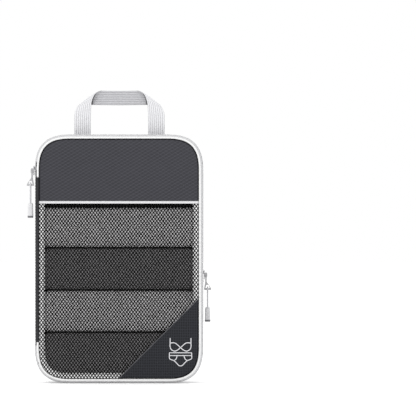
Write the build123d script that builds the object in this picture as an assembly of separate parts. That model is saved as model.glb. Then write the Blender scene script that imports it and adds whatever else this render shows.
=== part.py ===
from build123d import *
import math
import os

# Compression packing cube, small size: a flat fabric case with rounded corners that stands on its bottom edge.
# Millimetres, +X to the right, +Y to the back, +Z up. The origin is on the floor, under the middle of the
# case's width and depth. The front panel is a lid that hangs on the left edge and zips round the other three
# sides. A second zip runs all the way round behind it and closes a folded gusset, which is how the case is
# squeezed flat. The case is modelled zipped shut and squeezed flat.

# ---- the case -----------------------------------------------------------------------------------------------
WIDTH = 198.0
HEIGHT = 293.0
CORNER_RADIUS = 41.0
COIL_PROUD = 1.0  # the zip coils stand out of the walls by this much, so the case rests on them
MID_Z = COIL_PROUD + HEIGHT / 2
TOP_Z = COIL_PROUD + HEIGHT
SIDE_X = WIDTH / 2

FABRIC = 0.9
TAPE = 0.8
LINING = 0.5

PIPING_RADIUS = 1.5
PIPING_INSET = 3.5  # from the case's outline to the piping's centre
PIPING_Y = 26.5
PANEL_INSET = 5.1
PANEL_Y = 26.0  # the inner face of the front panel, and of the back panel

# the shell, from the front edge to the back edge
EDGE_Y = 25.0
SPINE_EDGE_Y = 24.6  # the fabric hinge stops short of the lid's piping
EDGE_INSET = 2.2
SHOULDER_Y = 21.5  # where the rounded edge reaches the full outline
MAIN_ZIP_Y = -17.0
SQUEEZE_ZIP_Y = 10.0
COIL_NEAR = 0.6  # from a zip's centre line to each coil
COIL_FAR = 2.1
COIL_THICK = 1.8
WALL_FRONT_Y = -10.0
WALL_BACK_Y = 2.0
REAR_WALL_Y = 18.0

# the fabric hinge on the left edge lies between the two ends of the main zip
SPINE_BOTTOM = 49.0
SPINE_TOP = 244.0
LID_ZIP_START = 262.0  # the lid's half of the zip starts above the parked slider
LID_ZIP_END = 45.0
SPINE_REACH = 40.0  # how far in the fabric hinge's pieces are taken from the left wall
END_TAB_HEIGHT = 2.2
END_TAB_Y = -21.0
STOP_SIZE = (0.4, 3.2, 2.0)
STOP_DROP = 7.5  # below the squeeze zip's slider

# the gusset behind the squeeze zip, folded inwards
PLEAT_START = 1.0
PLEAT_DEEP = 15.0
PLEAT_HALF_OPEN = 6.8
PLEAT_CLOTH = 0.7
PLEAT_GAP = 0.6

# ---- the front panel's pieces -------------------------------------------------------------------------------
DIVIDER_Z = 213.5
DIVIDER_HEIGHT = 3.8
DIVIDER_THICK = 1.5
PATCH_LINE_Z = 6.0  # the patch's long edge is the line z = x + PATCH_LINE_Z
BINDING_WIDTH = 7.0  # the white tape that binds the seam behind the window
BINDING_THICK = 0.5
PRINT_THICK = 0.25
PRINT_WIDTH = 1.1
PRINT_X = 71.5
PRINT_Z = 37.5
PRINT_HALF = 12.5
PRINT_BAND_HIGH = -1.5  # heights from the print's centre
PRINT_BAND_LOW = -5.0
PRINT_CUP_LOW = 4.0
PRINT_CUP_HIGH = 10.5
PRINT_STRAP = 16.5
PRINT_HIP = -8.5
PRINT_LEG = ((4.5, -5.0), (7.5, -11.5))
PRINT_MIDDLE = 0.5  # the two sides meet this far from the print's middle

# ---- the carrying handle, one piece of webbing folded over at 45 degrees in each upper corner -----------------
WEBBING_WIDTH = 19.5
WEBBING_THICK = 1.4
HANDLE_HALF = 53.7
HANDLE_TOP = 345.7
HANDLE_Y = 2.0
HANDLE_PIVOT_Z = TOP_Z + 1.4
FOLD_GAP = 1.2
ANCHOR_THICK = 0.35
ANCHOR_DEPTH = 6.0
ANCHOR_EXTRA = 2.0  # how much wider the tabs are than the webbing
STITCH_MARGIN = 1.5
STITCH_THICK = 0.3
STITCH_HEIGHT = 0.8
STITCH_ROWS = (2.0, 8.0)  # heights above the line where the handle turns

# ---- the two sliders, drawn as on the right wall: X outwards, Y across the zip, Z along it -------------------
MAIN_SLIDER_Z = 252.0
SQUEEZE_SLIDER_Z = 128.0
SLIDER_LENGTH = 11.0
SLIDER_WIDTH = 7.2
OUTER_PLATE = (1.4, 2.4)
INNER_PLATE = (-2.6, -1.6)
PLATE_TAPER = 0.9
PLATE_SHOULDER_Z = 0.5
PLATE_CORNER = 1.2
INNER_PLATE_SHRINK = 0.2
POST_HALF = 0.3
POST_HEIGHT = 3.6
POST_Z = 2.8
BRIDGE_X = 4.0
BRIDGE_Z = -1.6
BRIDGE_WIDTH = 3.2
BRIDGE_HEIGHT = 6.4
BRIDGE_ROUND = 1.55
BRIDGE_HALF = 1.2
BORE_RADIUS = 0.85
PIN_RADIUS = 0.78
TAB_HALF = 2.9
ARM_GAP = 1.5
TAB_RADIUS = 0.9
ARM_BOTTOM = -8.6
WEB_HEIGHT = 2.6
YOKE_HALF = 0.9
YOKE_FORK_Z = -12.2
YOKE_FORK = (-1.6, 1.2)  # the fork's two inner corners, from the bar's middle
YOKE_FOOT = 1.3
YOKE_SHOULDER = 2.6
YOKE_SLOPE = (0.4, 1.1)
BAR_Z = -17.0
BAR_X = 6.0
BAR_HALF = 4.2
BAR_RADIUS = 1.1
CORD_RADIUS = 0.95
CORD_BEND = BAR_RADIUS + 0.06 + CORD_RADIUS
CORD_NARROW = 1.1  # half the distance between the cord's two strands
CORD_WAIST = 6.0  # the strands come together this far below the bar
GRIP_TOP_Z = -38.4
GRIP_BOTTOM_Z = -56.0
GRIP_WIDTH = 6.8
GRIP_THICK = 4.4
GRIP_CORNER = 1.5
GRIP_TAPER = (1.0, 0.2)


# ---- shapes that run round the outline ----------------------------------------------------------------------
def outline(inset):
    """The case's outline, drawn in by an inset, as a face in the plane y = 0."""
    rounded = RectangleRounded(WIDTH - 2 * inset, HEIGHT - 2 * inset, CORNER_RADIUS - inset)
    return (Plane.XZ * Pos(0, MID_Z) * rounded).face()


def slab(face, y_from, y_to):
    """A face of the plane y = 0, made solid between two depths."""
    return extrude(Pos(0, y_from, 0) * face, amount=y_to - y_from, dir=(0, 1, 0))


def hoop(inset, thick, y_from, y_to):
    """A band of a given thickness round the outline."""
    return slab(outline(inset), y_from, y_to) - slab(outline(inset + thick), y_from, y_to)


def stack(steps):
    """A solid whose inset from the outline changes from depth to depth: steps are (depth, inset)."""
    parts = []
    for (y_from, inset_from), (y_to, inset_to) in zip(steps, steps[1:]):
        ends = [Pos(0, y_from, 0) * outline(inset_from), Pos(0, y_to, 0) * outline(inset_to)]
        parts.append(loft(ends, ruled=True))
    return parts[0].fuse(*parts[1:]) if parts[1:] else parts[0]


def edge_wall(thick, y_edge, y_shoulder, y_end):
    """A wall that rounds in from the full outline towards the piping."""
    outside = [(y_edge, EDGE_INSET), (y_shoulder, 0), (y_end, 0)]
    inside = [(y, inset + thick) for y, inset in outside]
    return stack(outside) - stack(inside)


def piping(y):
    path = Pos(0, y, 0) * outline(PIPING_INSET).outer_wire()
    start = Plane(origin=path @ 0, z_dir=path % 0)
    return sweep(start * Circle(PIPING_RADIUS), path=path)


def left_side(z_from, z_to):
    """The space round the left wall between two heights."""
    return Pos(-SIDE_X, 0, (z_from + z_to) / 2) * Box(SPINE_REACH, WIDTH, z_to - z_from)


# ---- lid ----------------------------------------------------------------------------------------------------
def front_panel(z_from, z_to, thick=FABRIC):
    whole = slab(outline(PANEL_INSET), -PANEL_Y - thick, -PANEL_Y)
    return whole & (Pos(0, -PANEL_Y, (z_from + z_to) / 2) * Box(WIDTH, PANEL_Y, z_to - z_from))


def seam_binding(z_to):
    """The white tape behind the window, along the seam with the piping, up to the divider."""
    tape = hoop(PANEL_INSET, BINDING_WIDTH, -PANEL_Y, -PANEL_Y + BINDING_THICK)
    return tape & (Pos(0, -PANEL_Y, z_to / 2) * Box(WIDTH, PANEL_Y, z_to))


def patch_corner():
    """Everything to the lower right of the patch's long edge."""
    far = 2 * HEIGHT
    points = [(-far, PATCH_LINE_Z - far), (far, PATCH_LINE_Z + far), (far, -far)]
    return slab(Plane.XZ * make_face(Polyline(*points, close=True)), -SIDE_X, SIDE_X)


def pictogram():
    """A plain two-piece undergarment in thin printed lines, which says what the cube holds."""
    half = PRINT_HALF
    strokes = [[(-half, z), (half, z)] for z in (PRINT_BAND_HIGH, PRINT_BAND_LOW)]
    for side in (-1, 1):
        edge, near = side * half, side * PRINT_MIDDLE
        strokes.append([(edge, PRINT_STRAP), (edge, PRINT_CUP_LOW), (near, PRINT_CUP_LOW), (edge, PRINT_CUP_HIGH)])
        strokes.append([(edge, PRINT_BAND_HIGH), (edge, PRINT_HIP), (near, -PRINT_STRAP)])
        strokes.append([(side * x, z) for x, z in PRINT_LEG])
    front = -PANEL_Y - FABRIC
    ink = None
    for points in strokes:
        for start, end in zip(points, points[1:]):
            span = Vector(*end) - Vector(*start)
            centre = (Vector(*start) + Vector(*end)) / 2 + Vector(PRINT_X, PRINT_Z)
            place = Plane.XZ * Pos(centre) * Rot(0, 0, math.degrees(math.atan2(span.Y, span.X)))
            bar = place * Rectangle(span.length + PRINT_WIDTH, PRINT_WIDTH)
            stroke = slab(bar, front - PRINT_THICK, front)
            ink = stroke if ink is None else ink + stroke
    return ink


def lid():
    divider_low = DIVIDER_Z - DIVIDER_HEIGHT / 2
    divider_high = DIVIDER_Z + DIVIDER_HEIGHT / 2
    below = front_panel(0, divider_low)
    binding = piping(-PIPING_Y)
    spine = left_side(SPINE_BOTTOM, SPINE_TOP)
    unzipped = left_side(LID_ZIP_END, LID_ZIP_START)
    zip_edge = MAIN_ZIP_Y - COIL_FAR
    coil = hoop(-COIL_PROUD, COIL_THICK, zip_edge, MAIN_ZIP_Y - COIL_NEAR)
    return {
        "lid_top_panel": front_panel(divider_high, TOP_Z),
        "lid_divider_trim": front_panel(divider_low, divider_high, DIVIDER_THICK),
        "lid_mesh_window": below - patch_corner(),
        "lid_corner_patch": below & patch_corner(),
        "lid_seam_binding": seam_binding(divider_low),
        "lid_pictogram": pictogram(),
        "lid_white_piping": binding - spine,
        "lid_spine_piping": binding & spine,
        "main_zip_lid_tape": edge_wall(TAPE, -EDGE_Y, -SHOULDER_Y, zip_edge) - unzipped,
        "main_zip_lid_coil": coil - unzipped,
    }


# ---- middle section -----------------------------------------------------------------------------------------
def handle_anchors():
    """The two stitched tabs that the handle's ends turn in."""
    x = HANDLE_HALF - WEBBING_WIDTH / 2
    z = TOP_Z + ANCHOR_THICK / 2
    tab = Box(WEBBING_WIDTH + ANCHOR_EXTRA, ANCHOR_DEPTH, ANCHOR_THICK)
    return [Pos(side * x, HANDLE_Y, z) * tab for side in (-1, 1)]


def zip_ends():
    """The folded fabric tabs that cover the main zip's two ends."""
    height = END_TAB_HEIGHT
    x = -SIDE_X + TAPE / 2
    y_from, y_to = END_TAB_Y, MAIN_ZIP_Y - COIL_NEAR
    box = Box(TAPE, y_to - y_from, height)
    z_high = SPINE_TOP + height / 2
    z_low = SPINE_BOTTOM - height / 2
    return [Pos(x, (y_from + y_to) / 2, z) * box for z in (z_low, z_high)]


def middle():
    spine = left_side(SPINE_BOTTOM, SPINE_TOP)
    body_edge = MAIN_ZIP_Y + COIL_FAR
    squeeze_edge = SQUEEZE_ZIP_Y - COIL_FAR
    body_coil = hoop(-COIL_PROUD, COIL_THICK, MAIN_ZIP_Y + COIL_NEAR, body_edge)
    front_coil = hoop(-COIL_PROUD, COIL_THICK, squeeze_edge, SQUEEZE_ZIP_Y - COIL_NEAR)
    stop_y = SQUEEZE_ZIP_Y - COIL_NEAR - STOP_SIZE[1] / 2
    stop = Pos(SIDE_X + COIL_PROUD + STOP_SIZE[0] / 2, stop_y, SQUEEZE_SLIDER_Z - STOP_DROP)
    return {
        "spine_panel": edge_wall(FABRIC, -SPINE_EDGE_Y, -SHOULDER_Y, WALL_FRONT_Y) & spine,
        "main_zip_body_tape": hoop(0, TAPE, body_edge, WALL_FRONT_Y) - spine,
        "main_zip_body_coil": body_coil - spine,
        "main_zip_end_tabs": zip_ends(),
        "middle_wall": hoop(0, FABRIC, WALL_FRONT_Y, WALL_BACK_Y),
        "middle_wall_lining": hoop(FABRIC, LINING, WALL_FRONT_Y, WALL_BACK_Y),
        "squeeze_zip_front_tape": hoop(0, TAPE, WALL_BACK_Y, squeeze_edge),
        "squeeze_zip_front_coil": front_coil,
        "squeeze_zip_stop": stop * Box(*STOP_SIZE),
        "handle_anchor_tabs": handle_anchors(),
    }


def gusset():
    """The cloth between the squeeze zip's seams, folded inwards: its section is a V pointing inside."""
    near, far = SQUEEZE_ZIP_Y - PLEAT_HALF_OPEN, SQUEEZE_ZIP_Y + PLEAT_HALF_OPEN
    cloth, gap = PLEAT_CLOTH, PLEAT_GAP
    inner = PLEAT_DEEP - cloth
    outside = [
        (near, PLEAT_START),
        (near + cloth, PLEAT_START),
        (SQUEEZE_ZIP_Y - gap, inner),
        (SQUEEZE_ZIP_Y + gap, inner),
        (far - cloth, PLEAT_START),
        (far, PLEAT_START),
    ]
    inside = [
        (near, PLEAT_START),
        (SQUEEZE_ZIP_Y - gap - cloth, PLEAT_DEEP),
        (SQUEEZE_ZIP_Y + gap + cloth, PLEAT_DEEP),
        (far, PLEAT_START),
    ]
    return stack(outside) - stack(inside)


# ---- rear section -------------------------------------------------------------------------------------------
def rear():
    rear_edge = SQUEEZE_ZIP_Y + COIL_FAR
    return {
        "squeeze_zip_rear_coil": hoop(-COIL_PROUD, COIL_THICK, SQUEEZE_ZIP_Y + COIL_NEAR, rear_edge),
        "squeeze_zip_rear_tape": hoop(0, TAPE, rear_edge, REAR_WALL_Y),
        "rear_wall": edge_wall(FABRIC, EDGE_Y, SHOULDER_Y, REAR_WALL_Y),
        "back_piping": piping(PIPING_Y),
        "back_panel": slab(outline(PANEL_INSET), PANEL_Y, PANEL_Y + FABRIC),
        "back_lining": slab(outline(PANEL_INSET), PANEL_Y - LINING, PANEL_Y),
    }


# ---- handle -------------------------------------------------------------------------------------------------
def handle():
    """Two upright legs, and a grip behind them, joined by a rolled fold at 45 degrees in each corner."""
    inner = HANDLE_HALF - WEBBING_WIDTH
    low = HANDLE_TOP - WEBBING_WIDTH
    front_y = HANDLE_Y - WEBBING_THICK / 2
    back_y = front_y + WEBBING_THICK + FOLD_GAP
    grip_points = [(-HANDLE_HALF, low), (HANDLE_HALF, low), (inner, HANDLE_TOP), (-inner, HANDLE_TOP)]
    grip = Plane.XZ * make_face(Polyline(*grip_points, close=True))
    webbing = slab(grip, back_y, back_y + WEBBING_THICK)
    roll = Circle(WEBBING_THICK + FOLD_GAP / 2) - Circle(FOLD_GAP / 2)
    half_plane = Pos(0, WEBBING_WIDTH / 2) * Rectangle(WEBBING_WIDTH, WEBBING_WIDTH)
    fold_y = front_y + WEBBING_THICK + FOLD_GAP / 2
    for side in (-1, 1):
        corners = [
            (side * HANDLE_HALF, HANDLE_PIVOT_Z),
            (side * inner, HANDLE_PIVOT_Z),
            (side * inner, HANDLE_TOP),
            (side * HANDLE_HALF, low),
        ]
        leg = Plane.XZ * make_face(Polyline(*corners, close=True))
        webbing += slab(leg, front_y, front_y + WEBBING_THICK)
        end = Pos(side * (inner + WEBBING_WIDTH / 2), HANDLE_Y, HANDLE_PIVOT_Z)
        webbing += end * Rot(0, 90, 0) * Cylinder(WEBBING_THICK / 2, WEBBING_WIDTH)
        start = Vector(side * HANDLE_HALF, fold_y, low)
        finish = Vector(side * inner, fold_y, HANDLE_TOP)
        out = Vector(side, 0, 1)
        across = Plane(origin=start, x_dir=(0, -side, 0), z_dir=finish - start)
        section = across * (roll & half_plane)
        if (section.center() - start).dot(out) < 0:
            section = across * Rot(0, 0, 180) * (roll & half_plane)
        webbing += extrude(section, amount=(finish - start).length)
    return webbing


def handle_stitching():
    """The box of thread across the foot of each leg."""
    x = HANDLE_HALF - WEBBING_WIDTH / 2
    y = HANDLE_Y - WEBBING_THICK / 2
    length = WEBBING_WIDTH - 2 * STITCH_MARGIN
    row = Box(length, STITCH_THICK, STITCH_HEIGHT, align=(Align.CENTER, Align.MAX, Align.CENTER))
    return [Pos(side * x, y, HANDLE_PIVOT_Z + z) * row for side in (-1, 1) for z in STITCH_ROWS]


# ---- zip sliders --------------------------------------------------------------------------------------------
def slider_plate(x_range, shrink):
    half, back = SLIDER_WIDTH / 2 - shrink, SLIDER_WIDTH / 2 - shrink - PLATE_TAPER
    top, bottom, waist = SLIDER_LENGTH / 2 - shrink, -SLIDER_LENGTH / 2 + shrink, PLATE_SHOULDER_Z
    points = [(-back, bottom), (back, bottom), (half, waist), (half, top), (-half, top), (-half, waist)]
    face = make_face(Polyline(*points, close=True))
    face = fillet(face.vertices().sort_by(Axis.Y)[:2] + face.vertices().sort_by(Axis.Y)[-2:], PLATE_CORNER)
    return extrude(Pos(x_range[0], 0, 0) * (Plane.YZ * face), amount=x_range[1] - x_range[0])


def slider_body():
    """Two plates on either side of the coils, a thin post between the coils, and a bridge with a bore."""
    outer = slider_plate(OUTER_PLATE, 0)
    inner = slider_plate(INNER_PLATE, INNER_PLATE_SHRINK)
    post_length = OUTER_PLATE[0] - INNER_PLATE[1]
    post = Box(post_length, 2 * POST_HALF, POST_HEIGHT, align=(Align.MIN, Align.CENTER, Align.CENTER))
    rounded = RectangleRounded(BRIDGE_WIDTH, BRIDGE_HEIGHT, BRIDGE_ROUND)
    bridge_face = Plane.XZ * Pos(BRIDGE_X, BRIDGE_Z + BRIDGE_HALF) * rounded
    bridge = slab(bridge_face, -BRIDGE_HALF, BRIDGE_HALF)
    bore = Pos(BRIDGE_X, 0, BRIDGE_Z) * Rot(90, 0, 0) * Cylinder(BORE_RADIUS, 4 * BRIDGE_HALF)
    return outer + inner + Pos(INNER_PLATE[1], 0, POST_Z) * post + bridge - bore


def pull_tab():
    """A fork with the pin that turns in the bridge, a neck, and a cross bar for the cord."""
    pin = Pos(BRIDGE_X, 0, BRIDGE_Z) * Rot(90, 0, 0) * Cylinder(PIN_RADIUS, 2 * TAB_HALF)
    eye = Plane.XZ * Pos(BRIDGE_X, BRIDGE_Z) * Circle(TAB_RADIUS)
    arm_height = BRIDGE_Z - ARM_BOTTOM
    strap = Plane.XZ * Pos(BRIDGE_X, BRIDGE_Z - arm_height / 2) * Rectangle(2 * TAB_RADIUS, arm_height)
    arms = []
    for y_from in (-TAB_HALF, ARM_GAP):
        y_to = y_from + TAB_HALF - ARM_GAP
        arms.append(slab(eye, y_from, y_to) + slab(strap, y_from, y_to))
    web = Pos(BRIDGE_X, 0, ARM_BOTTOM + WEB_HEIGHT / 2) * Box(2 * TAB_RADIUS, 2 * TAB_HALF, WEB_HEIGHT)
    outer_x = BAR_X + BAR_HALF
    inner_x = BAR_X - BAR_HALF
    yoke_points = [
        (BRIDGE_X - TAB_RADIUS, ARM_BOTTOM),
        (BRIDGE_X + TAB_RADIUS, ARM_BOTTOM),
        (outer_x - YOKE_SLOPE[1], BAR_Z + YOKE_SHOULDER),
        (outer_x, BAR_Z),
        (outer_x - YOKE_FOOT, BAR_Z),
        (BAR_X + YOKE_FORK[1], YOKE_FORK_Z),
        (BAR_X + YOKE_FORK[0], YOKE_FORK_Z),
        (inner_x + YOKE_FOOT, BAR_Z),
        (inner_x, BAR_Z),
        (inner_x + YOKE_SLOPE[0], BAR_Z + YOKE_SHOULDER),
    ]
    yoke = slab(Plane.XZ * make_face(Polyline(*yoke_points, close=True)), -YOKE_HALF, YOKE_HALF)
    bar = Pos(BAR_X, 0, BAR_Z) * Rot(0, 90, 0) * Cylinder(BAR_RADIUS, 2 * BAR_HALF)
    return pin + arms[0] + arms[1] + web + yoke + bar


def pull_cord():
    """A doubled cord: it goes round the cross bar and both strands end in the grip."""
    round_z = BAR_Z
    waist_z = BAR_Z - CORD_WAIST
    end_z = GRIP_TOP_Z
    top = Plane(origin=(BAR_X, 0, round_z), x_dir=(0, 1, 0), z_dir=(1, 0, 0))
    over = top * CenterArc((0, 0), CORD_BEND, 0, 180)
    cord = None
    pieces = [over]
    for side in (-1, 1):
        high = (BAR_X, side * CORD_BEND, round_z)
        low = (BAR_X, side * CORD_NARROW, waist_z)
        pieces.append(Line(high, low))
        pieces.append(Line(low, (BAR_X, side * CORD_NARROW, end_z)))
    for line in pieces:
        start = Plane(origin=line @ 0, z_dir=line % 0)
        run = sweep(start * Circle(CORD_RADIUS), path=line)
        cord = run if cord is None else cord + run
    for side in (-1, 1):
        cord += Pos(BAR_X, side * CORD_NARROW, waist_z) * Sphere(CORD_RADIUS)
        cord += Pos(BAR_X, side * CORD_BEND, round_z) * Sphere(CORD_RADIUS)
    return cord


def pull_grip():
    """The moulded grip, a little wider towards its foot."""
    head_width, head_thick = GRIP_WIDTH - GRIP_TAPER[0], GRIP_THICK - GRIP_TAPER[1]
    foot = Pos(BAR_X, 0, GRIP_BOTTOM_Z) * RectangleRounded(GRIP_WIDTH, GRIP_THICK, GRIP_CORNER)
    head = Pos(BAR_X, 0, GRIP_TOP_Z) * RectangleRounded(head_width, head_thick, GRIP_CORNER)
    return loft([foot, head], ruled=True)


def slider_set(prefix, place):
    return {
        prefix + "_slider_body": place * slider_body(),
        prefix + "_pull_tab": place * pull_tab(),
        prefix + "_pull_cord": place * pull_cord(),
        prefix + "_pull_grip": place * pull_grip(),
    }


# ---- write every node ---------------------------------------------------------------------------------------
def flatten(shape):
    """One compound for each node that is made of separate pieces."""
    return Compound(children=list(shape)) if isinstance(shape, list) else shape


nodes = {}
nodes.update(lid())
nodes.update(middle())
nodes["squeeze_gusset"] = gusset()
nodes.update(rear())
nodes["carry_handle"] = handle()
nodes["handle_stitching"] = handle_stitching()
nodes.update(slider_set("main_zip", Pos(-SIDE_X, MAIN_ZIP_Y, MAIN_SLIDER_Z) * Rot(0, 0, 180)))
nodes.update(slider_set("squeeze_zip", Pos(SIDE_X, SQUEEZE_ZIP_Y, SQUEEZE_SLIDER_Z)))

os.makedirs("parts", exist_ok=True)
for name, shape in nodes.items():
    export_step(flatten(shape), f"parts/{name}.step")
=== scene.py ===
import math

import bmesh
import bpy
import numpy as np
from mathutils import Matrix, Vector, noise


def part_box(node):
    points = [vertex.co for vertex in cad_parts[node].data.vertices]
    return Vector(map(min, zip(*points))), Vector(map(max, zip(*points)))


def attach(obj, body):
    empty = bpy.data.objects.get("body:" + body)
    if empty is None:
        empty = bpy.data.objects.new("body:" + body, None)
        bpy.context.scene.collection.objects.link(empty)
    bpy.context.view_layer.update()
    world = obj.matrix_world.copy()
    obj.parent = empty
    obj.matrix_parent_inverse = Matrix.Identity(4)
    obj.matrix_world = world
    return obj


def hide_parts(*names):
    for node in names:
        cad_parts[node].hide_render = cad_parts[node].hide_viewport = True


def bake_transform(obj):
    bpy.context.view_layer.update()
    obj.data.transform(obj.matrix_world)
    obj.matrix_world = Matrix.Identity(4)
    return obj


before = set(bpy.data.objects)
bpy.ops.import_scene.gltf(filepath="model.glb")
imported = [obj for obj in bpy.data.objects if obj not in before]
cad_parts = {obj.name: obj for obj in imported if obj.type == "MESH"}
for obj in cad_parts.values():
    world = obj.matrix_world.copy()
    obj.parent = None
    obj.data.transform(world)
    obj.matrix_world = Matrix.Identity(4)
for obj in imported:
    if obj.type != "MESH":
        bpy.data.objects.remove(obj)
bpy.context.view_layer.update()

# Lengths below are millimetres in the part's frame: +X right, +Y back, +Z up, origin on the floor.
MM = 0.001
FORWARD = (0, -1, 0)


def span(node):
    """A CAD node's lowest and highest corner, in millimetres."""
    low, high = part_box(node)
    return np.array(low) / MM, np.array(high) / MM


def depth(node):
    """How far forward and back a CAD node reaches, in millimetres."""
    low, high = span(node)
    return low[1], high[1]


# ---- places, from the frame
WALL_LOW, WALL_HIGH = span("middle_wall")
HALF_WIDTH = WALL_HIGH[0]
BOTTOM, TOP = WALL_LOW[2], WALL_HIGH[2]
CORNER = 45.0  # each corner is a superellipse, squarer than an arc
CORNER_POWER = 2.8
ARC_X = HALF_WIDTH - CORNER
ARC_LOW = BOTTOM + CORNER
ARC_HIGH = TOP - CORNER


def outline_table():
    """The outline as dense points and outward normals, clockwise from the left side's lower end."""
    angle = np.linspace(0, math.pi / 2, 181)
    a = np.cos(angle) ** (2 / CORNER_POWER)
    b = np.sin(angle) ** (2 / CORNER_POWER)
    na, nb = a ** (CORNER_POWER - 1), b ** (CORNER_POWER - 1)
    size = np.hypot(na, nb)
    na, nb = na / size, nb / size
    rows = []
    for x, z, turn in ((-1, 1, 0), (1, 1, 1), (1, -1, 2), (-1, -1, 3)):
        middle_z = ARC_HIGH if z > 0 else ARC_LOW
        flip = slice(None, None, -1 if turn % 2 else 1)
        quarter = [x * (ARC_X + CORNER * a), middle_z + z * CORNER * b, x * na, z * nb]
        rows.append(np.stack(quarter, 1)[flip])
    rows.append(rows[0][:1])
    table = np.concatenate(rows)
    start = np.array([[-HALF_WIDTH, ARC_LOW, -1, 0]])
    table = np.concatenate([start, table[:-1], start])
    run = np.concatenate([[0], np.cumsum(np.hypot(*np.diff(table[:, :2], axis=0).T))])
    keep = np.concatenate([[True], np.diff(run) > 1e-6])
    return run[keep], table[keep]


RIM_RUN, RIM_TABLE = outline_table()
ROUND = RIM_RUN[-1]
SIDE = ARC_HIGH - ARC_LOW
ARC = (ROUND - 2 * SIDE - 4 * ARC_X) / 4
ACROSS = 2 * ARC_X

PIPING_LOW, PIPING_HIGH = span("lid_white_piping")
PIPING_Y = (PIPING_HIGH[1] + PIPING_LOW[1]) / 2
PIPING_R = 1.2
PIPING_INSET = 3.1
SPINE_LOW, SPINE_HIGH = span("spine_panel")
SPINE_FROM = SPINE_LOW[2] - ARC_LOW
SPINE_TO = SPINE_HIGH[2] - ARC_LOW
PANEL_INSET = 4.3
PANEL_HALF = HALF_WIDTH - PANEL_INSET
PANEL_TOP = TOP - PANEL_INSET
PANEL_Y = span("lid_top_panel")[1][1]
DIVIDER_LOW, DIVIDER_HIGH = span("lid_divider_trim")
DIVIDER_LOW[2] += 1.2
DIVIDER_HIGH[2] += 0.4
MESH_BOTTOM = span("lid_mesh_window")[0][2]
PATCH_LOW, PATCH_HIGH = span("lid_corner_patch")
PATCH_LINE = PATCH_HIGH[2] - PATCH_HIGH[0]
HANDLE_FOOT = span("carry_handle")[0][2]

# where the lid's half of the main zip starts and ends, along the outline
LID_ZIP_FROM = 262.0 - ARC_LOW
LID_ZIP_TO = ROUND + 45.0 - ARC_LOW

# ---- materials


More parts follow.
